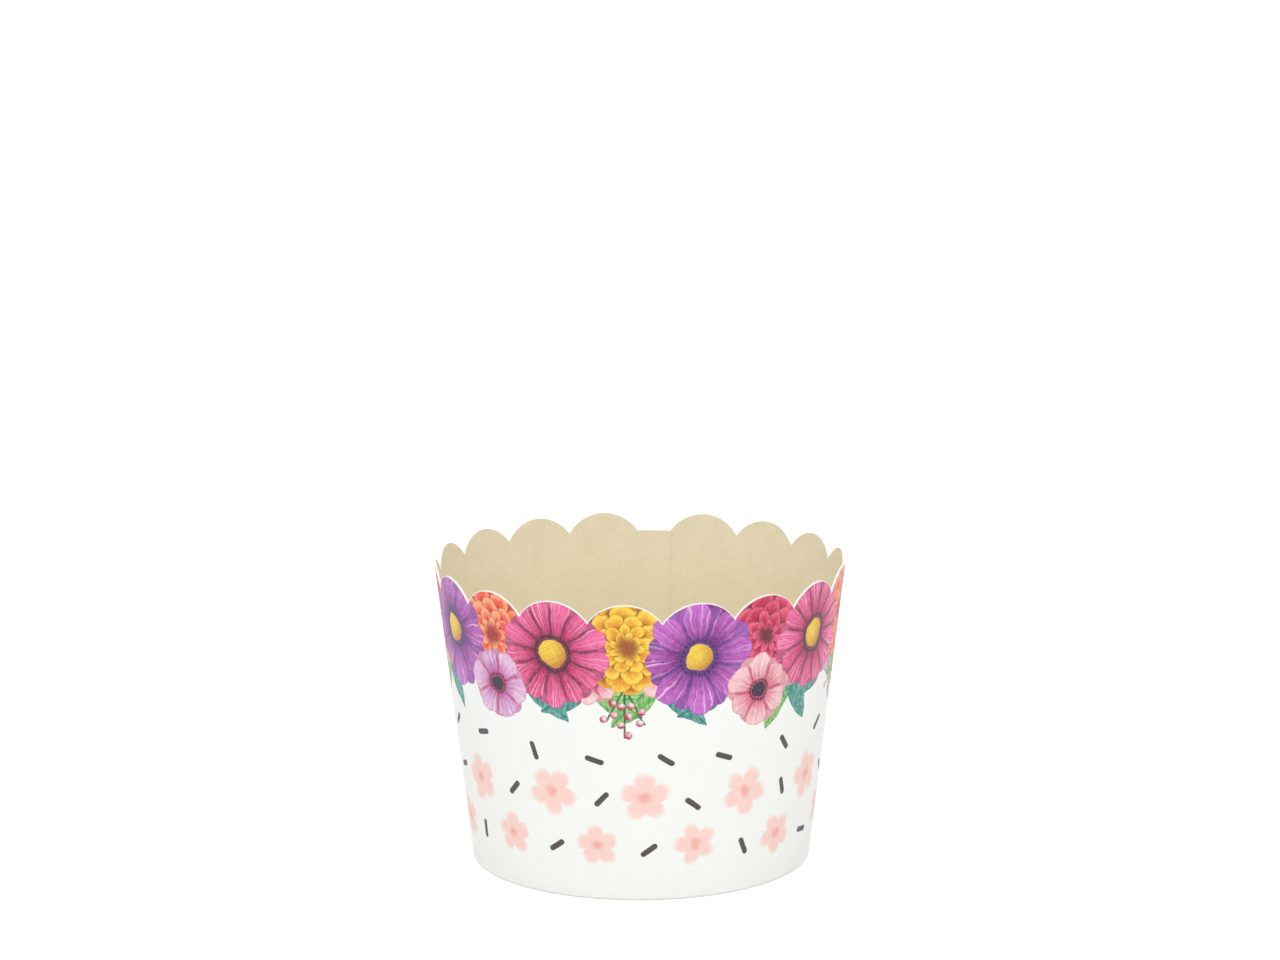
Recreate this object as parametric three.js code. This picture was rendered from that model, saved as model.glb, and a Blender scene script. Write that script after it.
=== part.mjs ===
// Paper baking cup with a scalloped rim, in millimetres, +Z up.
//
// Two pieces of board, as in a paper cup:
//   side_wall  one blank wrapped to a cone, lapped and glued at the back,
//              cut to round lobes along its rim and turned in and up at its foot
//   base_disc  a round panel with a turned-down skirt, glued between the wall
//              and the part of it that is turned up inside
//
// The origin is the middle of the ring that the cup stands on. Angles run round
// the cup from its front (-Y) towards +X, so the glued lap is centred on +Y.

import * as THREE from "three";
import { mergeVertices, toCreasedNormals } from "three/addons/utils/BufferGeometryUtils.js";

// Driving dimensions of the cone
const FOOT_DIAMETER = 60; // outside, at the surface that the cup stands on
const RIM_DIAMETER = 72; // outside, at the bottom of the scallops
const WALL_HEIGHT = 50.7; // from the foot to the bottom of the scallops

// Driving dimensions of the scalloped rim
const LOBE_COUNT = 17;
const LOBE_RISE = 3.4;

// Driving dimensions of the board and its joints
const BOARD = 0.35; // thickness
const LAP_WIDTH = 6.1; // side seam, measured at the rim
const LAP_RUN = 2.4; // width over which the upper layer comes down beside the lower one
const CUT_EDGE = 0.1; // run of a cut edge at a lap
const GLUE_LINE = 0.05; // between the base panel and the wall, on each face

// Driving dimensions of the base
const BASE_RECESS = 5.5; // clear height under the base panel
const SKIRT_CLEARANCE = 0.15; // between the end of the base's skirt and the fold that it stands over
const HEM_CLEARANCE = 0.5; // between the end of the wall's turned-up hem and the base panel above it

// Fineness of the curves
const LOBE_STEPS = 10;
const RUN_STEPS = 3;
const FOLD_STEPS = 2;

// Worked-out sizes
const footRadius = FOOT_DIAMETER / 2;
const rimRadius = RIM_DIAMETER / 2;
const slope = (rimRadius - footRadius) / WALL_HEIGHT;
const board = BOARD * Math.hypot(1, slope); // the slanted board, measured level
const glueLine = GLUE_LINE * Math.hypot(1, slope);
const lapAngle = LAP_WIDTH / rimRadius;
const runAngle = LAP_RUN / rimRadius;
const edgeAngle = CUT_EDGE / rimRadius;
const lapStart = Math.PI - lapAngle / 2;
const lapEnd = Math.PI + lapAngle / 2;
const lobeAngle = (2 * Math.PI - lapAngle) / LOBE_COUNT;
const halfLobe = (rimRadius * lobeAngle) / 2;
const lobeRadius = (halfLobe ** 2 + LOBE_RISE ** 2) / (2 * LOBE_RISE);
const skirtEnd = BOARD + SKIRT_CLEARANCE;
const hemEnd = BASE_RECESS - HEM_CLEARANCE;

// Radius of the cone's outer face at a height
function coneRadius(z) {
  return footRadius + slope * z;
}

// Height of the rim: round lobes from one edge of the lap to the other, level on the lap itself
function rimHeight(angle) {
  const pastLap = THREE.MathUtils.euclideanModulo(angle - lapEnd, 2 * Math.PI);
  if (pastLap > LOBE_COUNT * lobeAngle) {
    return WALL_HEIGHT;
  }
  const across = rimRadius * ((pastLap % lobeAngle) - lobeAngle / 2);
  const rise = Math.sqrt(lobeRadius ** 2 - across ** 2) - lobeRadius + LOBE_RISE;
  return WALL_HEIGHT + Math.max(rise, 0);
}

// How far the outer face stands out where the lap's upper layer lies over the lower one, and how far the
// inner face follows it where that layer comes down beside the lap
function lapSteps(angle) {
  if (angle >= lapStart && angle <= lapEnd) {
    return { over: board, under: 0 };
  }
  if (angle > lapEnd || angle < lapStart - edgeAngle - runAngle) {
    return { over: 0, under: 0 };
  }
  const along = THREE.MathUtils.clamp((lapStart - edgeAngle - angle) / runAngle, 0, 1);
  const lift = (board * (1 + Math.cos(Math.PI * along))) / 2;
  return { over: lift, under: lift };
}

// Angles of the columns that both pieces are built on, so that their faceted faces run side by side: one
// past the lap's outer cut edge, those of the lobes, those where the upper layer rises, and the lap itself
function columnAngles() {
  const firstLobe = lapEnd - 2 * Math.PI;
  const runEnd = lapStart - edgeAngle;
  const lobes = Array.from({ length: LOBE_COUNT * LOBE_STEPS }, (_, column) => {
    return firstLobe + (column * lobeAngle) / LOBE_STEPS;
  });
  const clearLobes = lobes.filter((angle) => angle > firstLobe + edgeAngle && angle < runEnd - runAngle);
  const run = Array.from({ length: RUN_STEPS + 1 }, (_, step) => {
    return runEnd - runAngle * (1 - step / RUN_STEPS);
  });
  return [firstLobe + edgeAngle, ...clearLobes, ...run, lapStart, Math.PI, lapEnd];
}

// The outside of a folded corner in a section, a quarter round about the sharp corner inside it
function fold(r, z, from) {
  return Array.from({ length: FOLD_STEPS + 1 }, (_, step) => {
    const angle = from + (Math.PI / 2) * (step / FOLD_STEPS);
    return new THREE.Vector2(r + BOARD * Math.cos(angle), z + BOARD * Math.sin(angle));
  });
}

// Section of the side wall at one angle, a closed outline: up the outer face, over the rim, down the inner
// face, and round the hem that holds the base's skirt
function wallSection(angle) {
  const { over, under } = lapSteps(angle);
  const top = rimHeight(angle);
  const pocket = board + 2 * glueLine; // room for the skirt
  const outer = (z) => coneRadius(z) + over;
  const inner = (z) => coneRadius(z) - board + under;
  const hemOuter = (z) => coneRadius(z) - board - pocket - under;
  const hemInner = (z) => coneRadius(z) - 2 * board - pocket - over;
  const outline = [
    ...fold(outer(BOARD) - BOARD, BOARD, -Math.PI / 2),
    new THREE.Vector2(outer(top), top),
    new THREE.Vector2(inner(top), top),
    new THREE.Vector2(inner(BOARD), BOARD),
    new THREE.Vector2(hemOuter(BOARD), BOARD),
    new THREE.Vector2(hemOuter(hemEnd), hemEnd),
    new THREE.Vector2(hemInner(hemEnd), hemEnd),
    ...fold(hemInner(BOARD) + BOARD, BOARD, -Math.PI),
  ];
  return [...outline, outline[0].clone()];
}

// Section of the base, from the axis out along its underside, round the skirt and back along the floor of
// the cup
function baseSection() {
  const underside = BASE_RECESS;
  const floor = BASE_RECESS + BOARD;
  const outer = (z) => coneRadius(z) - board - glueLine;
  const inner = (z) => outer(z) - board;
  return [
    new THREE.Vector2(0, underside),
    new THREE.Vector2(inner(underside), underside),
    new THREE.Vector2(inner(skirtEnd), skirtEnd),
    new THREE.Vector2(outer(skirtEnd), skirtEnd),
    ...fold(outer(underside) - BOARD, underside, 0),
    new THREE.Vector2(0, floor),
  ];
}

// Turns a section round the axis. The section may change with the angle, but its points keep their order.
function turned(section) {
  const angles = columnAngles();
  const rows = section(angles[0]).length;
  const lathe = new THREE.LatheGeometry(section(angles[0]), angles.length);
  const position = lathe.getAttribute("position");
  for (let column = 0; column <= angles.length; column++) {
    const angle = angles[column % angles.length];
    section(angle).forEach((point, row) => {
      const vertex = column * rows + row;
      position.setXYZ(vertex, point.x * Math.sin(angle), point.y, point.x * Math.cos(angle));
    });
  }
  lathe.deleteAttribute("normal");
  lathe.deleteAttribute("uv");
  lathe.rotateX(Math.PI / 2);
  return toCreasedNormals(mergeVertices(lathe), Math.PI / 6);
}

function piece(name, geometry, colour, roughness) {
  const material = new THREE.MeshStandardMaterial({ color: colour, roughness, metalness: 0 });
  const mesh = new THREE.Mesh(geometry, material);
  mesh.name = name;
  return mesh;
}

const bakingCup = new THREE.Group();
bakingCup.add(piece("side_wall", turned(wallSection), "#f8f8f3", 0.55));
bakingCup.add(piece("base_disc", turned(baseSection), "#f1efe4", 0.8));

export default bakingCup;
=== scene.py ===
# %% [markdown]
# # A printed paper baking cup
#
# The cup is two pieces of board. The side wall is one die-cut blank, printed flat, wrapped to a cone and
# glued along a lap at the back, and its foot is folded up inside over the skirt of a round base panel.
# This notebook builds the wall again as a fine, truly wrapped sheet, gives it a flower print worked out
# by its material, and dresses the base panel. Lengths are metres, +Z is up and the front of the cup
# looks along -Y.

# %% Load the fixed frame
import math

import bpy
from mathutils import Matrix, Vector


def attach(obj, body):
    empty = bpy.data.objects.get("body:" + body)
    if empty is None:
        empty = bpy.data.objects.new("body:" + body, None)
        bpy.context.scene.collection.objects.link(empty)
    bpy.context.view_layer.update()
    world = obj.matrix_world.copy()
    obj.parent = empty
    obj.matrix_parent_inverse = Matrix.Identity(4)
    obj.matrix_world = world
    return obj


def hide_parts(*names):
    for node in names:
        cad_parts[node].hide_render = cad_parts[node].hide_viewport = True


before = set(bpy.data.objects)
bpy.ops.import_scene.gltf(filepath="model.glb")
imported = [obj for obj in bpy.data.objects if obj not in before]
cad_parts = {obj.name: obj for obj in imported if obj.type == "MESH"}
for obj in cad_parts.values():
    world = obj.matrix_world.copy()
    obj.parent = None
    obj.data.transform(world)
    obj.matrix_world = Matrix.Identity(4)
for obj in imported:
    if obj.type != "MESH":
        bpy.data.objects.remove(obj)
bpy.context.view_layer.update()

MM = 0.001

# %% [markdown]
# ## Formulas as nodes
#
# Both the wall's shape and its print are formulas, and node trees work formulas out with one Math node
# for each sum. Adding such nodes by hand is hard to read. A small class that stands for a number in a
# tree lets the code say a * b + c, as on paper, and makes the nodes as it goes.

# %% A number in a node tree


def connect(tree, socket, value):
    """Feeds a socket from a term or another socket, or sets its own value."""
    if isinstance(value, Term):
        tree.links.new(value.socket, socket)
    elif isinstance(value, bpy.types.NodeSocket):
        tree.links.new(value, socket)
    else:
        socket.default_value = value


class Term:
    """A number in a node tree. Sums of terms make the nodes that work them out."""

    def __init__(self, tree, socket):
        self.tree = tree
        self.socket = socket

    def sum(self, operation, *others, first=None):
        maths = self.tree.nodes.new("ShaderNodeMath")
        maths.operation = operation
        values = (self, *others) if first is None else (first, self)
        for place, value in enumerate(values):
            connect(self.tree, maths.inputs[place], value)
        return Term(self.tree, maths.outputs[0])

    def __add__(self, other):
        return self.sum("ADD", other)

    def __sub__(self, other):
        return self.sum("SUBTRACT", other)

    def __mul__(self, other):
        return self.sum("MULTIPLY", other)

    def __truediv__(self, other):
        return self.sum("DIVIDE", other)

    def __radd__(self, other):
        return self.sum("ADD", first=other)

    def __rsub__(self, other):
        return self.sum("SUBTRACT", first=other)

    def __rmul__(self, other):
        return self.sum("MULTIPLY", first=other)

    def sin(self):
        return self.sum("SINE")

    def cos(self):
        return self.sum("COSINE")

    def root(self):
        return self.sum("SQRT")

    def size(self):
        return self.sum("ABSOLUTE")

    def floor(self):
        return self.sum("FLOOR")

    def fraction(self):
        return self.sum("FRACT")

    def nearest(self):
        return self.sum("ROUND")

    def power(self, other):
        return self.sum("POWER", other)

    def least(self, other):
        return self.sum("MINIMUM", other)

    def most(self, other):
        return self.sum("MAXIMUM", other)

    def mapped(self, low, high, kind):
        """The number's place between low and high. The node's own clamp stays off: Cycles makes one more
        node of it, and runs out of room for those in a material as long as the print."""
        node = self.tree.nodes.new("ShaderNodeMapRange")
        node.interpolation_type = kind
        node.clamp = False
        for name, value in (("Value", self), ("From Min", low), ("From Max", high)):
            connect(self.tree, node.inputs[name], value)
        return Term(self.tree, node.outputs["Result"])

    def step(self, low, high):
        """0 up to low, 1 from high, and a smooth step between them. low may be the larger one."""
        return self.mapped(low, high, "SMOOTHSTEP")

    def ramp(self, low, high):
        """0 up to low, 1 from high, and a straight ramp between them."""
        return self.mapped(low, high, "LINEAR").least(1.0).most(0.0)


def length(x, y):
    """The length of the vector (x, y)."""
    return (x * x + y * y).root()


# %% [markdown]
# ## The side wall, wrapped from its blank
#
# On the real cup the wall is cut flat with its lobes along one edge, wrapped round a cone, lapped over
# its own end and curled in at the foot. A lathe would give a closed ring and lose the lap. Here Geometry
# Nodes takes a flat grid, as the cup machine takes the blank, and moves each point to its place by a
# rule: columns run round the cone and past their own start, and rows run up the hem, round the fold and
# up the wall to the rim.

# %% Sizes of the cup

FOOT_RADIUS = 30.0 * MM
RIM_RADIUS = 36.0 * MM  # outside, at the bottom of the scallops
WALL_HEIGHT = 50.7 * MM
LOBE_COUNT = 17
LOBE_RISE = 3.4 * MM
BOARD = 0.35 * MM
LAP_WIDTH = 6.1 * MM
LAP_RUN = 2.4 * MM
GLUE_LINE = 0.05 * MM
HEM_HEIGHT = 5.0 * MM
POCKET = BOARD + 2 * GLUE_LINE  # room for the base's skirt between the wall and its hem
LAP_LIFT = 1.03  # thicknesses of board by which the lap's upper layer stands out, clear of the lower one

LAP_ANGLE = LAP_WIDTH / RIM_RADIUS
LOBE_ANGLE = (2 * math.pi - LAP_ANGLE) / LOBE_COUNT
print("lobe pitch, degrees:", round(math.degrees(LOBE_ANGLE), 2))

# %% The rule that wraps the blank


def group_input(tree, name):
    return Term(tree, tree.nodes["Group Input"].outputs[name])


def new_tree(name, kind, inputs, outputs):
    """A node group with named sockets, given as (name, socket kind) pairs."""
    tree = bpy.data.node_groups.new(name, kind)
    for label, socket_kind in inputs:
        tree.interface.new_socket(label, in_out="INPUT", socket_type=socket_kind)
    for label, socket_kind in outputs:
        tree.interface.new_socket(label, in_out="OUTPUT", socket_type=socket_kind)
    tree.nodes.new("NodeGroupInput")
    tree.nodes.new("NodeGroupOutput")
    return tree


def wrap_tree():
    lengths = (
        "Foot Radius", "Rim Radius", "Wall Height", "Lobe Rise", "Lap Width", "Lap Run",
        "Board", "Pocket", "Hem Height",
    )
    counts = ("Lobe Count", "Lobe Columns", "Lap Columns", "Hem Rows", "Fold Rows", "Wall Rows")
    sockets = [(name, "NodeSocketFloat") for name in lengths]
    sockets += [(name, "NodeSocketInt") for name in counts]
    sockets.append(("Material", "NodeSocketMaterial"))
    tree = new_tree("Wrap the blank", "GeometryNodeTree", sockets, [("Geometry", "NodeSocketGeometry")])
    tree.is_modifier = True
    foot, rim_radius, height, rise, lap, run, board, pocket, hem_height = (
        group_input(tree, name) for name in lengths
    )
    lobes, lobe_columns, lap_columns, hem_rows, fold_rows, wall_rows = (
        group_input(tree, name) for name in counts
    )

    # The flat grid, one unit each way about its middle
    columns = lobes * lobe_columns + 2 * lap_columns
    rows = hem_rows + fold_rows + wall_rows
    grid = tree.nodes.new("GeometryNodeMeshGrid")
    connect(tree, grid.inputs["Size X"], 1.0)
    connect(tree, grid.inputs["Size Y"], 1.0)
    connect(tree, grid.inputs["Vertices X"], columns + 1)
    connect(tree, grid.inputs["Vertices Y"], rows + 1)
    flat = tree.nodes.new("ShaderNodeSeparateXYZ")
    connect(tree, flat.inputs[0], tree.nodes.new("GeometryNodeInputPosition").outputs[0])
    column = ((Term(tree, flat.outputs["X"]) + 0.5) * columns).nearest()
    row = ((Term(tree, flat.outputs["Y"]) + 0.5) * rows).nearest()

    # Round the cone: the lower end of the lap, the lobes, and the upper end of the lap
    lap_angle = lap / rim_radius
    lobes_angle = 2 * math.pi - lap_angle
    lower_end = column.ramp(0.0, lap_columns)
    along_lobes = column.ramp(lap_columns, columns - lap_columns)
    upper_end = column.ramp(columns - lap_columns, columns)
    angle = (lower_end + upper_end) * lap_angle + along_lobes * lobes_angle - (lap_angle * 0.5 + math.pi)

    # The rim: each lobe is the arc of a circle through its two valleys and its top
    half_lobe = lobes_angle * rim_radius / lobes * 0.5
    lobe_radius = (half_lobe * half_lobe + rise * rise) / (2 * rise)
    across = ((along_lobes * lobes).fraction() * 2 - 1) * half_lobe
    arc = (lobe_radius * lobe_radius - across * across).root()
    rim = height + (arc - lobe_radius + rise).most(0.0)

    # The lap: the upper end climbs over the lower one, whose foot is lifted to lie inside the upper fold
    lap_start = math.pi - lap_angle * 0.5
    over = angle.step(lap_start - run / rim_radius, lap_start) * board * LAP_LIFT
    lift_end = (lap_angle + run / rim_radius * 2) * 0.5 - math.pi
    under = angle.step(lift_end, lap_angle * 0.5 - math.pi) * board

    # Up the section: the hem, the half round fold, and the wall
    fold_radius = pocket * 0.5 + board + over
    up_hem = row.ramp(0.0, hem_rows)
    round_fold = row.ramp(hem_rows, hem_rows + fold_rows) * math.pi
    up_wall = row.ramp(hem_rows + fold_rows, rows)
    z = fold_radius * (1 - round_fold.sin())
    z = z + (1 - up_hem) * (hem_height - fold_radius) + up_wall * (rim - fold_radius)
    z = z + under * (1 - up_wall)
    slope = (rim_radius - foot) / height
    r = foot + slope * z + over - fold_radius - fold_radius * round_fold.cos()

    # What the print needs to know: where a point lies on the blank, and how far it is from the cut rim
    on_wall = row.ramp(hem_rows + fold_rows - 1, hem_rows + fold_rows)
    spot = tree.nodes.new("ShaderNodeCombineXYZ")
    connect(tree, spot.inputs["X"], angle * rim_radius)
    connect(tree, spot.inputs["Y"], z * (on_wall * 2 - 1))
    stored = store(tree, grid.outputs["Mesh"], "blank", "FLOAT2", "CORNER", spot.outputs[0])
    from_rim = (rim - z) * arc / lobe_radius + (1 - on_wall) * rim
    stored = store(tree, stored, "from_rim", "FLOAT", "POINT", from_rim)

    # The point's place in space
    place = tree.nodes.new("ShaderNodeCombineXYZ")
    connect(tree, place.inputs["X"], r * angle.sin())
    connect(tree, place.inputs["Y"], r * angle.cos() * -1)
    connect(tree, place.inputs["Z"], z)
    wrapped = tree.nodes.new("GeometryNodeSetPosition")
    connect(tree, wrapped.inputs["Geometry"], stored)
    connect(tree, wrapped.inputs["Position"], place.outputs[0])
    smooth = tree.nodes.new("GeometryNodeSetShadeSmooth")
    connect(tree, smooth.inputs["Geometry"], wrapped.outputs["Geometry"])
    real = tree.nodes.new("GeometryNodeRealizeInstances")
    connect(tree, real.inputs["Geometry"], smooth.outputs["Geometry"])
    coated = tree.nodes.new("GeometryNodeSetMaterial")
    connect(tree, coated.inputs["Geometry"], real.outputs["Geometry"])
    connect(tree, coated.inputs["Material"], tree.nodes["Group Input"].outputs["Material"])
    connect(tree, tree.nodes["Group Output"].inputs["Geometry"], coated.outputs["Geometry"])
    return tree


def store(tree, geometry, name, data_type, domain, value):
    """Keeps a value on the geometry under a name that materials can read."""
    node = tree.nodes.new("GeometryNodeStoreNamedAttribute")
    node.data_type = data_type
    node.domain = domain
    connect(tree, node.inputs["Geometry"], geometry)
    connect(tree, node.inputs["Name"], name)
    connect(tree, node.inputs["Value"], value)
    return node.outputs["Geometry"]


# %% [markdown]
# ## Turning the rule into a plain sheet of board
#
# The modifier's result is made a plain mesh, and Solidify then gives the sheet its thickness inwards.
# Its three material offsets keep apart what a sheet of printed board shows: the coated face, the bare
# face and the cut edge.

# %% Wrap the blank


def applied(piece):
    """The piece's mesh with its modifiers applied, and the modifiers gone."""
    bpy.context.view_layer.update()
    made = bpy.data.meshes.new_from_object(piece.evaluated_get(bpy.context.evaluated_depsgraph_get()))
    piece.modifiers.clear()
    piece.data = made
    return piece


def wrapped_wall(materials):
    wall = bpy.data.objects.new("printed_wall", bpy.data.meshes.new("printed_wall"))
    bpy.context.scene.collection.objects.link(wall)
    tree = wrap_tree()
    wrap = wall.modifiers.new("Wrap", "NODES")
    wrap.node_group = tree
    values = {
        "Foot Radius": FOOT_RADIUS,
        "Rim Radius": RIM_RADIUS,
        "Wall Height": WALL_HEIGHT,
        "Lobe Rise": LOBE_RISE,
        "Lap Width": LAP_WIDTH,
        "Lap Run": LAP_RUN,
        "Board": BOARD,
        "Pocket": POCKET,
        "Hem Height": HEM_HEIGHT,
        "Lobe Count": LOBE_COUNT,
        "Lobe Columns": 24,
        "Lap Columns": 8,
        "Hem Rows": 2,
        "Fold Rows": 8,
        "Wall Rows": 14,
        "Material": materials[0],
    }
    for item in tree.interface.items_tree:
        if item.in_out == "INPUT":
            wrap[item.identifier] = values[item.name]
    applied(wall)
    wall.data.materials.clear()
    for material in materials:
        wall.data.materials.append(material)
    board = wall.modifiers.new("Board", "SOLIDIFY")
    board.thickness = BOARD
    board.offset = -1.0
    board.use_even_offset = True
    board.material_offset = 1
    board.material_offset_rim = 2
    applied(wall)
    wall.data.set_sharp_from_angle(angle=math.radians(40))
    return wall


# %% [markdown]
# ## Inks, and layers of print
#
# A print is laid down in layers, each one hiding what is under it. In the material each motif is a node
# group that answers two questions about a spot: what colour is the motif there, and does it cover the
# spot. Mixing by that mask, layer after layer, gives the printed picture at any sharpness, with no
# image.

# %% Colours and layers


def ink(red, green, blue):
    """A colour as a shader wants it, from the 0 to 255 values of a screen."""
    shares = (value / 255 for value in (red, green, blue))
    linear = (s / 12.92 if s <= 0.04045 else ((s + 0.055) / 1.055) ** 2.4 for s in shares)
    return (*linear, 1.0)


def mix(tree, share, under, upper):
    """upper over under, by a share from 0 to 1."""
    node = tree.nodes.new("ShaderNodeMix")
    node.data_type = "RGBA"
    connect(tree, node.inputs[0], share)
    connect(tree, node.inputs[6], under)
    connect(tree, node.inputs[7], upper)
    return Term(tree, node.outputs[2])


def pick(tree, number, colours):
    """The colour with that number in a list, as a ramp of steps."""
    node = tree.nodes.new("ShaderNodeValToRGB")
    node.color_ramp.interpolation = "CONSTANT"
    stops = node.color_ramp.elements
    while len(stops) < len(colours):
        stops.new(1.0)
    for place, colour in enumerate(colours):
        stops[place].position = place / len(colours)
        stops[place].color = colour
    connect(tree, node.inputs["Fac"], (number + 0.5) / len(colours))
    return Term(tree, node.outputs["Color"])


def chance(tree, number):
    """A fixed random value from 0 to 1 for each whole number."""
    node = tree.nodes.new("ShaderNodeTexWhiteNoise")
    node.noise_dimensions = "1D"
    connect(tree, node.inputs["W"], number)
    return Term(tree, node.outputs["Value"])


def noise(tree, x, y, scale, detail=2.0):
    """Soft noise about 0.5 over a flat pattern."""
    spot = tree.nodes.new("ShaderNodeCombineXYZ")
    connect(tree, spot.inputs["X"], x)
    connect(tree, spot.inputs["Y"], y)
    node = tree.nodes.new("ShaderNodeTexNoise")
    node.noise_dimensions = "2D"
    connect(tree, node.inputs["Vector"], spot.outputs[0])
    connect(tree, node.inputs["Scale"], scale)
    connect(tree, node.inputs["Detail"], detail)
    return Term(tree, node.outputs["Fac"])


def streak(tree, across, scale, detail=2.0):
    """Soft noise about 0.5 along one line, which makes streaks when that line crosses a petal."""
    node = tree.nodes.new("ShaderNodeTexNoise")
    node.noise_dimensions = "1D"
    connect(tree, node.inputs["W"], across)
    connect(tree, node.inputs["Scale"], scale)
    connect(tree, node.inputs["Detail"], detail)
    return Term(tree, node.outputs["Fac"])


def motif(name, numbers, colours):
    """A node group for one motif of the print: spot, numbers and colours in, colour and mask out."""
    sockets = [(label, "NodeSocketFloat") for label in ("X", "Y", "Mottle", *numbers)]
    sockets += [(label, "NodeSocketColor") for label in colours]
    outputs = [("Color", "NodeSocketColor"), ("Mask", "NodeSocketFloat")]
    tree = new_tree(name, "ShaderNodeTree", sockets, outputs)
    return tree, [group_input(tree, label) for label, kind in sockets]


def finish_motif(tree, colour, mask):
    """Joins a motif's colour and mask to its outputs, and says how many nodes it took."""
    connect(tree, tree.nodes["Group Output"].inputs["Color"], colour)
    connect(tree, tree.nodes["Group Output"].inputs["Mask"], mask)
    print(f"{tree.name}: {len(tree.nodes)} nodes")
    return tree


def lay(tree, under, group, spot, **values):
    """Lays a motif over the print so far. spot gives X, Y and Mottle, and values the other inputs."""
    node = tree.nodes.new("ShaderNodeGroup")
    node.node_tree = group
    for label, value in (spot | values).items():
        connect(tree, node.inputs[label.replace("_", " ")], value)
    return mix(tree, node.outputs["Mask"], under, node.outputs["Color"])


# %% [markdown]
# ## The inks
#
# Watercolour shows one pigment in several depths, so most inks are two or three tones: the first and the
# second of a ray flower's petals run from its heart to its tips, and three run from light to deep.

# %% The palette

PAPER = ink(255, 246, 244)  # what shows where the ink is thin
BLUSH = ink(253, 210, 200)
BLUSH_HEART = ink(246, 172, 160)
CHARCOAL = ink(72, 66, 64)
BLACK_PLUM = ink(48, 22, 54)
MAROON = ink(104, 16, 54)
ROSE = ink(190, 62, 104)
AMBER = ink(166, 72, 12)
DEEP_VIOLET = ink(72, 34, 126)
VIOLET = (ink(100, 48, 150), ink(208, 112, 210))
MAGENTA = ink(132, 18, 120)
HOT_PINK = (ink(196, 8, 92), ink(250, 114, 172))
CORAL = (ink(255, 172, 124), ink(244, 82, 58), ink(152, 26, 40))
CRIMSON = (ink(238, 96, 132), ink(192, 20, 70), ink(92, 4, 38))
YELLOW = (ink(252, 214, 70), ink(234, 154, 28), ink(146, 70, 14))
PALE_PINK = (ink(230, 124, 148), ink(252, 214, 214))
LILAC = (ink(184, 106, 186), ink(238, 196, 230))
TEAL = (ink(126, 196, 176), ink(36, 128, 128), ink(12, 70, 82))
GREEN = (ink(182, 224, 136), ink(76, 168, 84), ink(22, 98, 62))
print("paper, linear:", [round(value, 3) for value in PAPER[:3]])

# %% [markdown]
# ## A flower with rays
#
# Daisies, star flowers and five-petalled blossoms are one shape with other numbers: the angle about the
# heart, cut into equal sectors, says which petal a spot is on and how far it is from that petal's middle
# line. A petal's length falls off from its middle line to its sides, slowly for a broad round petal and
# fast for a pointed one. A second row of petals, turned by half a petal, fills the gaps behind the
# first.

# %% The ray flower


def petal_row(tree, x, y, radius, petals, point, turn, seed):
    """One row of petals: how far inside its outline a spot is, its place across and along its petal, and
    that petal's chance and number."""
    out = length(x, y)
    sector = y.sum("ARCTAN2", x) / (2 * math.pi) * petals + turn
    number = sector.floor().sum("FLOORED_MODULO", petals)
    luck = chance(tree, number + seed * 31)
    across = (sector.fraction() - 0.5) * 2
    side = across.size()
    reach = radius * (1 - point * side.power(2.4)) * (0.91 + luck * 0.12)
    return reach - out, across, out / radius, luck, number


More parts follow.
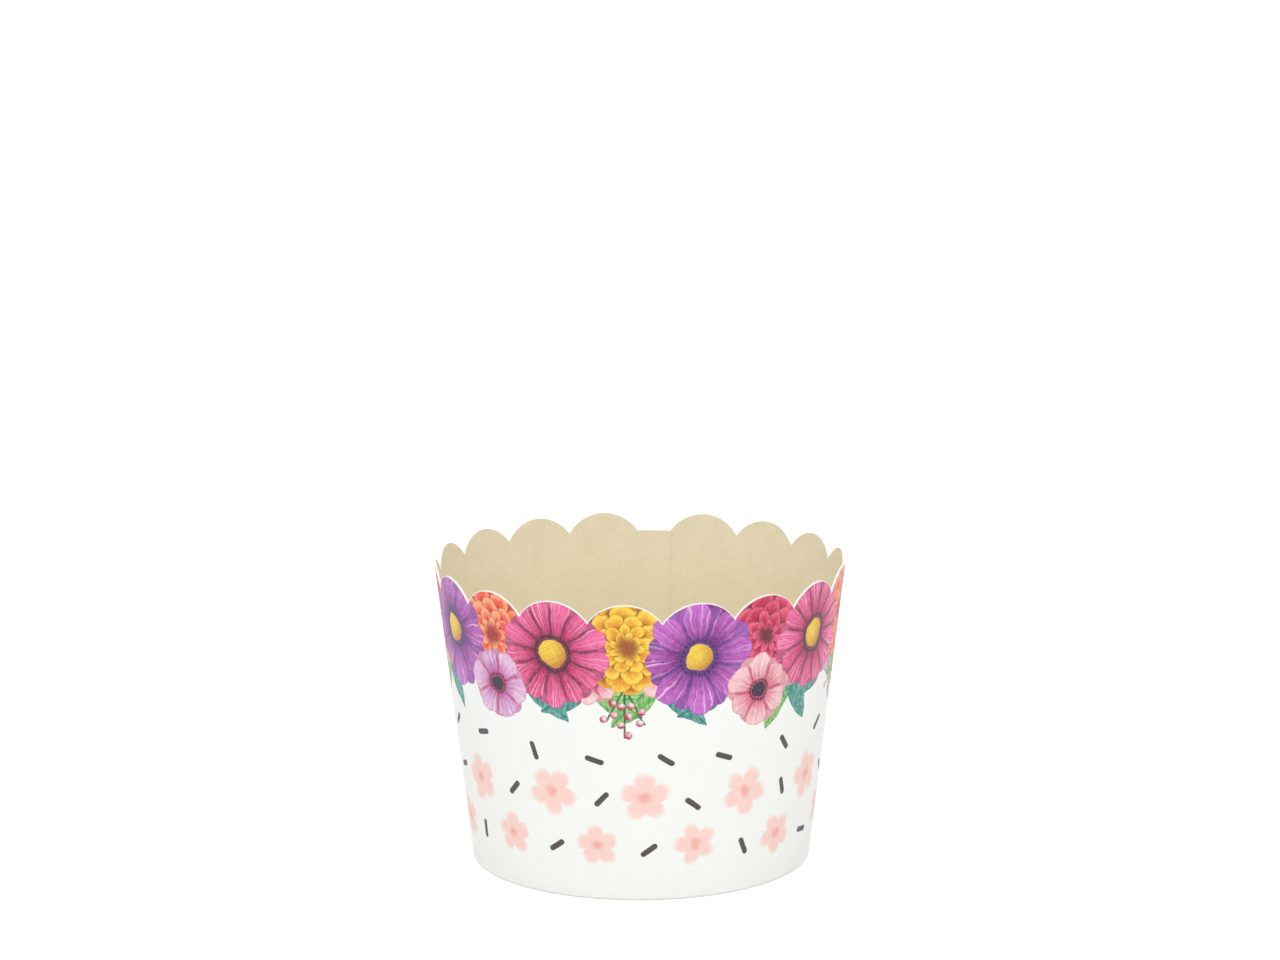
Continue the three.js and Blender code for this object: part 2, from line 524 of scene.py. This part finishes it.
def ray_flower():
    numbers = ("Radius", "Petals", "Point", "Turn", "Seed", "Heart Radius")
    colours = ("Inner", "Outer", "Vein", "Heart", "Heart Shade", "Stamen")
    tree, inputs = motif("Ray flower", numbers, colours)
    x, y, mottle, radius, petals, point, turn, seed, heart_radius, *inks = inputs
    inner, outer, vein, heart, heart_shade, stamen = inks
    out = length(x, y)

    def painted(extra_turn, reach, shade):
        inside, across, along, luck, number = petal_row(
            tree, x, y, radius * reach, petals, point, turn + extra_turn, seed + extra_turn
        )
        streaks = streak(tree, across * 2.6 + number * 9 + seed * 5 + mottle * 0.5, 2.2)
        fill = along.step(0.12, 0.85) * 0.75 + (streaks + mottle - 1) * 0.8 + (luck - 0.5) * 0.35
        colour = mix(tree, fill.ramp(0.0, 1.0), inner, outer)
        dry = streaks.step(0.55, 0.75) * along.step(0.35, 0.8) * 0.5
        colour = mix(tree, dry, colour, PAPER)
        lines = (across * 13 + (streaks - 0.5) * 3).cos().step(0.45, 1.0) * along.step(0.95, 0.3)
        beside = (1 - across.size()) * out * math.pi / petals
        dark = (lines * 0.62).most(beside.step(0.6, 0.0) * 0.9).most(inside.step(0.3, 0.0) * 0.5)
        dark = dark.most(along.step(0.5, 0.2) * 0.55).most(shade)
        return mix(tree, dark, colour, vein), inside.step(-0.04, 0.06)

    back_colour, back_mask = painted(0.5, 0.97, 0.5)
    front_colour, front_mask = painted(0.0, 1.0, 0.0)
    colour = mix(tree, front_mask, back_colour, front_colour)

    # The heart: a stippled dome with a dark ring of stamens round it
    stamens = petals * 3
    ring = (y.sum("ARCTAN2", x) / (2 * math.pi) * stamens).fraction() - 0.5
    sideways = ring * 2 * math.pi * heart_radius * 1.3 / stamens
    dots = length(sideways, out - heart_radius * 1.28).step(0.34, 0.2)
    rising = streak(tree, x * 3.4 + y * 2 + mottle * 4, 1.6)
    falling = streak(tree, y * 3.4 - x * 2 + 40, 1.6)
    grains = rising + falling - 1
    shaded = (x - y) / heart_radius * 0.25 + out / heart_radius * 0.35
    dome = mix(tree, (grains.step(0.0, 0.2) * 0.5 + shaded).ramp(0.0, 1.1), heart, heart_shade)
    colour = mix(tree, out.step(heart_radius * 1.9, heart_radius * 0.9) * 0.65, colour, vein)
    colour = mix(tree, dots, colour, stamen)
    colour = mix(tree, out.step(heart_radius + 0.06, heart_radius - 0.06), colour, dome)
    return finish_motif(tree, colour, front_mask.most(back_mask))


RAY_FLOWER = ray_flower()

# %% [markdown]
# ## A flower with rings
#
# Dahlias and pompons are rows of short petals, each row overlapping the one outside it and turned by
# half a petal. For a spot, the row that shows is the innermost one that reaches it. Even rows share one
# scalloped outline and odd rows the other, so two roundings and a minimum find it, however many rows
# there are.

# %% The ring flower


def ring_flower():
    numbers = ("Radius", "Petals", "Rows", "Turn", "Seed")
    tree, inputs = motif("Ring flower", numbers, ("Light", "Mid", "Deep"))
    x, y, mottle, radius, petals, rows, turn, seed, light, mid, deep = inputs
    out = length(x, y)
    depth = out / radius * rows
    around = y.sum("ARCTAN2", x) / 2 * petals + turn

    def row_outline(quarter):
        return (around + quarter).cos().size().power(0.7) * 0.85

    even_edge = row_outline(0.0)
    odd_edge = row_outline(math.pi / 2)
    even_row = ((depth - even_edge - 1) * 0.5).sum("CEIL").most(0.0) * 2
    odd_row = ((depth - odd_edge - 2) * 0.5).sum("CEIL").most(0.0) * 2 + 1
    row = even_row.least(odd_row)
    is_odd = even_row.sum("GREATER_THAN", odd_row)
    edge = even_edge + (odd_edge - even_edge) * is_odd
    inward = row + 1 + edge - depth
    number = ((around + is_odd * math.pi / 2) / math.pi + 0.5).floor().sum("FLOORED_MODULO", petals)
    luck = chance(tree, number + row * 7 + seed * 31)

    # Each petal is light at its tip, deep where the next row lies on it, and lined along its length
    streaks = streak(tree, around * 1.8 + row * 3 + seed * 5 + mottle, 2.2)
    shade = inward.step(0.1, 1.3) * 0.95 + (streaks + mottle - 1) * 0.9 + (luck - 0.5) * 0.5
    colour = mix(tree, shade.ramp(0.0, 0.75), light, mid)
    lip = (edge / 0.85).step(0.45, 0.0) * inward.step(1.1, 0.2)
    dark = inward.step(1.0, 1.7).most(lip).most(inward.step(0.1, 0.0) * 0.75).most(depth.step(1.6, 0.4))
    colour = mix(tree, dark * 0.9, colour, deep)
    inside = (rows + edge - 0.85 - depth) * radius / rows
    return finish_motif(tree, colour, inside.step(-0.04, 0.06))


RING_FLOWER = ring_flower()

# %% [markdown]
# ## Leaves, sprigs and confetti
#
# A leaf is a lens about its midrib, with side veins that lean towards the tip. It is drawn pointing
# along X, so the layer turns the spot before it asks. A sprig is a thin stem with berries on either side
# by turns. Below the flowers the board stays white, with soft blush blooms in two sizes and small
# charcoal confetti rods.

# %% Leaf, sprig, bloom and rod


def turned(x, y, angle):
    """The spot (x, y) in axes turned by an angle, a term or a plain number."""
    is_term = isinstance(angle, Term)
    cosine = angle.cos() if is_term else math.cos(angle)
    sine = angle.sin() if is_term else math.sin(angle)
    return x * cosine + y * sine, y * cosine - x * sine


def leaf():
    tree, inputs = motif("Leaf", ("Length", "Width"), ("Light", "Mid", "Deep"))
    x, y, mottle, reach, width, light, mid, deep = inputs
    along = x / reach
    side = y.size()
    half = width * 0.5 * (along.ramp(0.0, 1.0) * math.pi).sin().power(0.75) * (1.25 - along * 0.5)
    colour = mix(tree, (mottle - 0.5) * 2.2 + 0.5 - y / width * 0.5, light, mid)
    veins = ((x - side * 1.1) * 4.6).cos().step(0.72, 1.0) * 0.55
    dark = veins.most(side.step(0.16, 0.05) * 0.75).most((half - side).step(0.25, 0.0) * 0.5)
    colour = mix(tree, dark, colour, deep)
    mask = (half - side).step(-0.03, 0.07) * along.sum("GREATER_THAN", 0.0)
    return finish_motif(tree, colour, mask * along.sum("LESS_THAN", 1.0))


def sprig():
    tree, inputs = motif("Sprig", ("Length",), ("Stem", "Berry"))
    x, y, mottle, reach, stem, berry = inputs
    pitch = 1.75
    number = (x / pitch).nearest().most(2.0).least((reach / pitch).floor())
    side = (number * 0.5).fraction() * 4 - 1
    off_x = x - number * pitch
    off_y = y - side * 0.62
    off = length(off_x, off_y)
    lit = length(off_x + 0.2, off_y - 0.2)
    colour = mix(tree, (lit * 1.3 + (mottle - 0.5) * 1.5).ramp(0.0, 1.0), PAPER, berry)
    is_berry = off.step(0.74, 0.62)
    on_stem = y.size().step(0.22, 0.12) * x.step(0.0, 0.1) * x.step(reach, reach - 0.2)
    return finish_motif(tree, mix(tree, is_berry, stem, colour), is_berry.most(on_stem))


def rod():
    tree, inputs = motif("Confetti rod", ("Length", "Width"), ("Ink",))
    x, y, mottle, reach, width, colour = inputs
    off = length((x.size() - (reach - width) * 0.5).most(0.0), y)
    return finish_motif(tree, colour, off.step(width * 0.5 + 0.05, width * 0.5 - 0.05))


def soft_bloom():
    tree, inputs = motif("Soft bloom", ("Radius", "Turn"), ("Ink", "Heart"))
    x, y, mottle, radius, turn, colour, heart = inputs
    out = length(x, y)
    petals = (y.sum("ARCTAN2", x) * 2.5 + turn * 3).cos().size()
    edge = radius * (0.55 + petals.power(0.6) * 0.45)
    wet = out.step(edge * 1.1, edge * 0.75) * (mottle * 0.5 + 0.65)
    colour = mix(tree, out.step(radius * 0.34, radius * 0.1), colour, heart)
    return finish_motif(tree, colour, wet.least(1.0))


LEAF = leaf()
SPRIG = sprig()
ROD = rod()
SOFT_BLOOM = soft_bloom()

# %% [markdown]
# ## Board
#
# Board is pressed fibre, fine along its run and cloudy over a few millimetres. Every face of it shows
# that mottle, so one group puts it out, and each finish turns it into its own change of colour,
# roughness and height.

# %% Fibre mottle, shared by every board finish


def fibre_group():
    outputs = [("Fibre", "NodeSocketFloat"), ("Cloud", "NodeSocketFloat")]
    tree = new_tree("Board fibre", "ShaderNodeTree", [("Vector", "NodeSocketVector")], outputs)
    place = group_input(tree, "Vector")
    for name, scale, detail, stretch in (("Fibre", 2600.0, 4.0, 0.35), ("Cloud", 260.0, 3.0, 1.0)):
        squeeze = tree.nodes.new("ShaderNodeVectorMath")
        squeeze.operation = "MULTIPLY"
        connect(tree, squeeze.inputs[0], place)
        connect(tree, squeeze.inputs[1], (1.0, 1.0, stretch))
        node = tree.nodes.new("ShaderNodeTexNoise")
        connect(tree, node.inputs["Vector"], squeeze.outputs[0])
        connect(tree, node.inputs["Scale"], scale)
        connect(tree, node.inputs["Detail"], detail)
        connect(tree, tree.nodes["Group Output"].inputs[name], node.outputs["Fac"])
    return tree


FIBRE = fibre_group()
print(f"{FIBRE.name}: {len(FIBRE.nodes)} nodes")


def board_material(name, tones, roughness, relief, painter=None):
    """A board finish: two close tones mottled by the fibre, and print over them if there is a painter."""
    material = bpy.data.materials.new(name)
    material.use_nodes = True
    tree = material.node_tree
    shader = tree.nodes["Principled BSDF"]
    fibre = tree.nodes.new("ShaderNodeGroup")
    fibre.node_tree = FIBRE
    where = tree.nodes.new("ShaderNodeTexCoord")
    connect(tree, fibre.inputs["Vector"], where.outputs["Object"])
    fine = Term(tree, fibre.outputs["Fibre"])
    cloud = Term(tree, fibre.outputs["Cloud"])
    colour = mix(tree, (fine * 0.6 + cloud * 0.4).ramp(0.35, 0.65), *tones)
    gloss = roughness + (fine - 0.5) * 0.12
    if painter:
        colour, inked = painter(tree, colour, fine, cloud)
        gloss = gloss - inked * 0.06
    bump = tree.nodes.new("ShaderNodeBump")
    connect(tree, bump.inputs["Strength"], 0.35)
    connect(tree, bump.inputs["Distance"], relief)
    connect(tree, bump.inputs["Height"], fine * 0.7 + cloud * 0.3)
    connect(tree, shader.inputs["Base Color"], colour)
    connect(tree, shader.inputs["Roughness"], gloss)
    connect(tree, shader.inputs["Normal"], bump.outputs["Normal"])
    print(f"{name}: {len(tree.nodes)} nodes")
    return material


# %% [markdown]
# ## Places on the printed blank
#
# The wall keeps each point's place on the flat blank in its UV map, so the print is laid out in
# millimetres of board, and in lobes round the rim. Each row of motifs rounds the spot's place to its
# nearest motif, so one group draws the whole row, and a fixed chance for each motif moves and turns it a
# little.

# %% Find a spot's place

LOBE_PITCH = LOBE_ANGLE * RIM_RADIUS / MM  # millimetres of blank for each lobe, at the rim


class Blank:
    """Places on the printed blank, in millimetres, for the spot that is being shaded."""

    def __init__(self, tree):
        self.tree = tree
        chart = tree.nodes.new("ShaderNodeUVMap")
        chart.uv_map = "blank"
        split = tree.nodes.new("ShaderNodeSeparateXYZ")
        connect(tree, split.inputs[0], chart.outputs["UV"])
        arc = Term(tree, split.outputs["X"]) / MM
        height = Term(tree, split.outputs["Y"]) / MM
        self.mottle = noise(tree, arc, height, 0.9, 4.0)
        self.speckle = noise(tree, arc, height, 3.4, 3.0)

        self.height = height
        self.lobe = arc / LOBE_PITCH
        taper = (RIM_RADIUS - FOOT_RADIUS) / WALL_HEIGHT
        self.narrowing = height * (taper * MM / RIM_RADIUS) + FOOT_RADIUS / RIM_RADIUS

        # A hand never draws quite round, so flowers sway a little from their true form
        self.sway_x = (noise(tree, arc, height, 0.3) - 0.5) * 1.8
        self.sway_y = (noise(tree, arc + 70, height, 0.3) - 0.5) * 1.8

    def row(self, first, pitch, height, jitter, seed, sway=1.0):
        """The spot seen from a row's nearest motif, with that motif's number and its two chances."""
        number = ((self.lobe - first) / pitch).nearest()
        luck = chance(self.tree, number + seed)
        fate = chance(self.tree, number + seed + 50)
        x = (self.lobe - first - number * pitch) * self.narrowing * LOBE_PITCH
        x = x + self.sway_x * sway + (luck - 0.5) * jitter
        y = self.height - height + self.sway_y * sway + (fate - 0.5) * jitter
        return {"X": x, "Y": y, "Mottle": self.mottle}, number, luck, fate

    def turn(self, spot, angle, side=1.0):
        """The spot in axes turned by an angle, and mirrored where side is -1."""
        x, y = turned(spot["X"] * side, spot["Y"], angle)
        return {"X": x, "Y": y, "Mottle": self.mottle}


print("blank for each lobe, mm:", round(LOBE_PITCH, 2))

# %% [markdown]
# ## The garland, from its lowest layer up
#
# What lies behind is laid first: the leaves, then the small fillers and the berry sprigs that show only
# between the flowers. Each function lays one row over the print that it is given and returns both as
# one.

# %% Leaves, fillers and sprigs


def shades(colours):
    return dict(zip(("Light", "Mid", "Deep"), colours))


def lay_leaves(blank, colour):
    """Two leaves at each place, leaning left and right from under the flowers."""
    for seed, first, lean, height, long in ((3, 0.5, 0.62, 41.0, 12.4), (8, 1.5, 0.95, 40.0, 11.0)):
        spot, number, luck, fate = blank.row(first, 2.0, height, 1.2, seed, sway=0.4)
        for side in (-1.0, 1.0):
            green = TEAL if (side > 0) == (seed == 3) else GREEN
            leaning = blank.turn(spot, (luck - 0.5) * 0.4 - math.pi / 2 + lean, side)
            colour = lay(blank.tree, colour, LEAF, leaning, Length=long, Width=4.9, **shades(green))
    return colour


def lay_fillers(blank, colour):
    """Small five-petalled flowers at the joints of the row above."""
    spot, number, luck, fate = blank.row(0.5, 1.0, 40.6, 1.6, 21)
    kind = (luck * 3).floor()
    inner = pick(blank.tree, kind, [PALE_PINK[0], LILAC[0], YELLOW[1]])
    outer = pick(blank.tree, kind, [PALE_PINK[1], LILAC[1], YELLOW[0]])
    return lay(
        blank.tree, colour, RAY_FLOWER, spot,
        Radius=4.1, Petals=5.0, Point=0.34, Turn=luck, Seed=number, Heart_Radius=0.75,
        Inner=inner, Outer=outer, Vein=ROSE, Heart=YELLOW[0], Heart_Shade=AMBER, Stamen=MAROON,
    )


def lay_sprigs(blank, colour):
    """A fan of three berry sprigs under every second ring flower."""
    spot, number, luck, fate = blank.row(0.0, 4.0, 39.0, 0.8, 131, sway=0.3)
    for angle, long in ((-2.05, 7.2), (-1.12, 7.8), (-1.58, 9.4)):
        hanging = blank.turn(spot, angle)
        colour = lay(blank.tree, colour, SPRIG, hanging, Length=long, Stem=GREEN[2], Berry=CRIMSON[1])
    return colour


# %% [markdown]
# ## The large flowers
#
# Ring flowers stand on the even lobes and ray flowers on the odd ones, so that each lobe cuts through
# one large flower. A list gives the order of the ring flowers' colours, and the ray flowers are violet
# star flowers and pink daisies by turns. Pale blossoms hang in front, under every second ring flower
# that has no sprigs.

# %% Ring flowers, ray flowers and blossoms


def every_second(number):
    """1 for each odd whole number and 0 for each even one."""
    return (number * 0.5).fraction().sum("GREATER_THAN", 0.25)


def lay_ring_flowers(blank, colour):
    order = [CRIMSON, YELLOW, CRIMSON, CORAL, YELLOW, CRIMSON, CORAL, YELLOW, CORAL]
    spot, number, luck, fate = blank.row(-8.0, 2.0, 46.4, 1.0, 34)
    tones = [pick(blank.tree, number, [flower[tone] for flower in order]) for tone in range(3)]
    return lay(
        blank.tree, colour, RING_FLOWER, spot,
        Radius=8.2 + luck * 0.6, Petals=(fate * 3).floor() + 8.0, Rows=5.0, Turn=luck * 3, Seed=number,
        **shades(tones),
    )


def lay_ray_flowers(blank, colour):
    spot, number, luck, fate = blank.row(1.0, 2.0, 44.6, 1.0, 55, sway=0.55)
    daisy = every_second(number)
    inner = mix(blank.tree, daisy, MAGENTA, HOT_PINK[0])
    outer = mix(blank.tree, daisy, VIOLET[1], HOT_PINK[1])
    vein = mix(blank.tree, daisy, DEEP_VIOLET, MAROON)
    return lay(
        blank.tree, colour, RAY_FLOWER, spot,
        Radius=10.3, Petals=daisy * 5 + 8, Point=0.4 - daisy * 0.16, Turn=luck,
        Seed=number, Heart_Radius=2.5,
        Inner=inner, Outer=outer, Vein=vein, Heart=YELLOW[0], Heart_Shade=AMBER, Stamen=BLACK_PLUM,
    )


def lay_blossoms(blank, colour):
    spot, number, luck, fate = blank.row(2.0, 4.0, 37.4, 1.0, 77, sway=0.7)
    lilac = every_second(number)
    inner = mix(blank.tree, lilac, PALE_PINK[0], LILAC[0])
    outer = mix(blank.tree, lilac, PALE_PINK[1], LILAC[1])
    return lay(
        blank.tree, colour, RAY_FLOWER, spot,
        Radius=6.6, Petals=6.0, Point=0.26, Turn=luck, Seed=number, Heart_Radius=1.4,
        Inner=inner, Outer=outer, Vein=ROSE, Heart=BLACK_PLUM, Heart_Shade=BLACK_PLUM, Stamen=MAROON,
    )


# %% [markdown]
# ## The whole print, and the cut through it
#
# Below the garland the board stays white, with blush blooms in two staggered rows and confetti rods
# between them. The die cuts through the print, and the board's fibres show as a thin pale line along
# the cut. Ink sinks in unevenly, which a fine speckle of paper shows.

# %% Lay the whole print

CUT_LINE = 0.13  # millimetres of bare fibre along the cut rim


def strew_field(blank, colour):
    """Blush blooms in two rows, and confetti rods in three rows between them."""
    for first, height, radius, seed in ((0.3, 18.8, 4.6, 90), (1.05, 9.6, 3.9, 95)):
        spot, number, luck, fate = blank.row(first, 1.5, height, 1.6, seed, sway=0.6)
        bloom = {"Radius": radius, "Turn": luck, "Ink": BLUSH, "Heart": BLUSH_HEART}
        colour = lay(blank.tree, colour, SOFT_BLOOM, spot, **bloom)
    rod_rows = ((0.5, 1.0, 26.6, 101), (1.05, 1.5, 18.2, 113), (0.3, 1.5, 8.8, 120))
    for first, pitch, height, seed in rod_rows:
        spot, number, luck, fate = blank.row(first, pitch, height, 2.0, seed, sway=0.1)
        lying = blank.turn(spot, fate * math.pi)
        colour = lay(blank.tree, colour, ROD, lying, Length=3.4, Width=1.0, Ink=CHARCOAL)
    return colour


def garland_print(tree, board, fine, cloud):
    """The printed face: its colour at the spot, and how much ink is there."""
    blank = Blank(tree)
    wash_edge = blank.height + (blank.mottle - 0.5) * 3
    wash = mix(tree, cloud.step(0.35, 0.65), MAGENTA, VIOLET[0])
    garland = mix(tree, wash_edge.step(41.2, 42.2), board, wash)
    layers = (lay_leaves, lay_fillers, lay_sprigs, lay_ring_flowers, lay_ray_flowers, lay_blossoms)
    for lay_row in layers:
        garland = lay_row(blank, garland)
    field = blank.height.step(31.0, 29.0)
    printed = mix(tree, field, garland, strew_field(blank, garland))
    printed = mix(tree, blank.speckle.step(0.5, 0.85) * 0.13, printed, PAPER)

    # The cut's bare fibres, a line that frays with the board's own fibre
    from_rim = tree.nodes.new("ShaderNodeAttribute")
    from_rim.attribute_name = "from_rim"
    rough_edge = Term(tree, from_rim.outputs["Fac"]) / MM + (fine - 0.5) * 0.12
    cut = rough_edge.step(CUT_LINE - 0.04, CUT_LINE + 0.05)
    inked = blank.height.step(29.0, 33.0) * cut
    return mix(tree, cut, board, printed), inked


# %% [markdown]
# ## Four finishes of one board
#
# The coating is white and smoother than the rest, the bare faces are cream, and the cut edge is the
# board's pale pulp. The base has a finish of its own, because it is another piece of board than the wall.

# %% Make the board finishes

COATING = (ink(250, 252, 248), ink(247, 249, 244))
CREAM = (ink(243, 234, 209), ink(236, 225, 196))
PULP = (ink(253, 252, 247), ink(244, 240, 230))
COATED = board_material("printed_board", COATING, 0.5, 0.04 * MM, garland_print)
BARE = board_material("bare_board", CREAM, 0.8, 0.08 * MM)
CORE = board_material("cut_edge", PULP, 0.95, 0.1 * MM)
BASE = board_material("base_board", CREAM, 0.8, 0.08 * MM)

# %% [markdown]
# ## Dressing the pieces
#
# The wrapped wall stands for the plain solid of the frame and hides it. The base panel's solid already
# has its true form, so it stays and only gets its board.

# %% Dress the wall and the base

wall = wrapped_wall((COATED, BARE, CORE))
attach(wall, "root")
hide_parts("side_wall")
print("wall triangles:", sum(len(face.vertices) - 2 for face in wall.data.polygons))

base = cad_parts["base_disc"]
for place in base.material_slots:
    place.material = BASE

# %% [markdown]
# ## The studio
#
# The photograph is bright and nearly without shadow. A pale floor takes a soft shadow, floor and world
# are lifted to white only where they are seen and not as light on the cup, and large soft lamps light it
# from the front, above and both sides at a plain level.

# %% Floor and world


def seen_plainly(tree):
    """1 for what the camera sees itself, in gloss or through glass, and 0 for the light that it gives."""
    path = tree.nodes.new("ShaderNodeLightPath")
    names = ("Is Camera Ray", "Is Glossy Ray", "Is Transmission Ray")
    camera, glossy, transmitted = (Term(tree, path.outputs[name]) for name in names)
    return camera.most(glossy).most(transmitted)


def floor_material():
    material = bpy.data.materials.new("floor")
    material.use_nodes = True
    tree = material.node_tree
    shader = tree.nodes["Principled BSDF"]
    connect(tree, shader.inputs["Base Color"], ink(246, 246, 246))
    connect(tree, shader.inputs["Roughness"], 0.9)
    connect(tree, shader.inputs["Emission Color"], (1.0, 1.0, 1.0, 1.0))

    # The lamps leave the far floor grey, so it glows the more, the farther it is from the cup
    where = tree.nodes.new("ShaderNodeTexCoord")
    split = tree.nodes.new("ShaderNodeSeparateXYZ")
    connect(tree, split.inputs[0], where.outputs["Object"])
    away = length(Term(tree, split.outputs["X"]), Term(tree, split.outputs["Y"]))
    glow = seen_plainly(tree) * (away.step(0.1, 1.2) * 0.4 + 0.3)
    connect(tree, shader.inputs["Emission Strength"], glow)
    return material


def make_floor():
    bpy.ops.mesh.primitive_circle_add(vertices=96, radius=3.0, fill_type="NGON")
    floor = bpy.context.object
    floor.name = "floor"
    floor.data.materials.append(floor_material())
    print("floor radius, m:", round(max(floor.dimensions) / 2, 2))


def make_world():
    world = bpy.data.worlds.new("studio")
    bpy.context.scene.world = world
    world.use_nodes = True
    tree = world.node_tree
    back = tree.nodes["Background"]
    connect(tree, back.inputs["Color"], (1.0, 1.0, 1.0, 1.0))
    connect(tree, back.inputs["Strength"], seen_plainly(tree) * 0.45 + 0.55)


make_floor()
make_world()

# %% [markdown]
# ## The lamps
#
# White board shows every change of light, so the lamps are wide and their powers were set against the
# photograph: the board renders about as its colour is written in front, and a little greyer at both
# sides, where the wall turns away. The right lamp is the weaker one, because the photograph's right side
# is as dark as its left while the front lamp stands a little to the right.

# %% Lamps


def lamp(name, place, aim, size, power):
    """A square soft lamp at a place, turned to face a point."""
    light = bpy.data.lights.new(name, "AREA")
    light.size = size
    light.energy = power
    lamp_object = bpy.data.objects.new(name, light)
    lamp_object.location = place
    direction = Vector(aim) - Vector(place)
    lamp_object.rotation_euler = direction.to_track_quat("-Z", "Y").to_euler()
    bpy.context.scene.collection.objects.link(lamp_object)
    print(f"{name}: {power} W, {round(direction.length, 2)} m away")


CUP_MIDDLE = (0.0, 0.0, 0.03)
lamp("front_lamp", (0.1, -0.9, 0.5), CUP_MIDDLE, 0.7, 2.96)
lamp("top_lamp", (0.0, 0.1, 1.0), CUP_MIDDLE, 0.8, 3.4)
lamp("left_lamp", (-0.9, -0.2, 0.4), CUP_MIDDLE, 0.5, 0.75)
lamp("right_lamp", (0.9, -0.2, 0.4), CUP_MIDDLE, 0.5, 0.45)

# %% [markdown]
# ## The camera
#
# The photograph was taken with a long lens from a little above. Its angle, distance and framing were
# worked out from the foot, the rim and the scallops of the cup, and the camera turns about the cup's
# axis by 4 degrees, so that the lobes stand where the photograph has them.

# %% Camera

IMAGE_WIDTH = 1280
SENSOR = 36.0
FOCAL_PIXELS = 4676.0  # focal length in pixels of the photograph's frame
PITCH = math.radians(12.22)
ROLL = math.radians(-0.26)
AZIMUTH = math.radians(4.25)
DISTANCE = 0.824
AIM = Vector((0.0, 0.0, 0.068))
SIDE_PIXELS = -0.42  # the cup's axis is this far from the middle of the frame


def make_camera():
    camera = bpy.data.cameras.new("camera")
    camera.sensor_width = SENSOR
    camera.lens = FOCAL_PIXELS / IMAGE_WIDTH * SENSOR
    camera.clip_start = 0.01
    camera.shift_x = -SIDE_PIXELS / IMAGE_WIDTH
    stand = bpy.data.objects.new("camera", camera)
    bpy.context.scene.collection.objects.link(stand)
    ahead = Vector((-math.sin(AZIMUTH), math.cos(AZIMUTH), 0.0))
    forward = ahead * math.cos(PITCH) - Vector((0, 0, math.sin(PITCH)))
    level = forward.cross(Vector((0, 0, 1))).normalized()
    upright = level.cross(forward)
    right = level * math.cos(ROLL) + upright * math.sin(ROLL)
    top = upright * math.cos(ROLL) - level * math.sin(ROLL)
    turn = Matrix((right, top, -forward)).transposed()
    stand.matrix_world = Matrix.Translation(AIM - forward * DISTANCE) @ turn.to_4x4()
    bpy.context.scene.camera = stand
    print("lens, mm:", round(camera.lens, 1))


make_camera()
bpy.context.scene.view_settings.view_transform = "Standard"
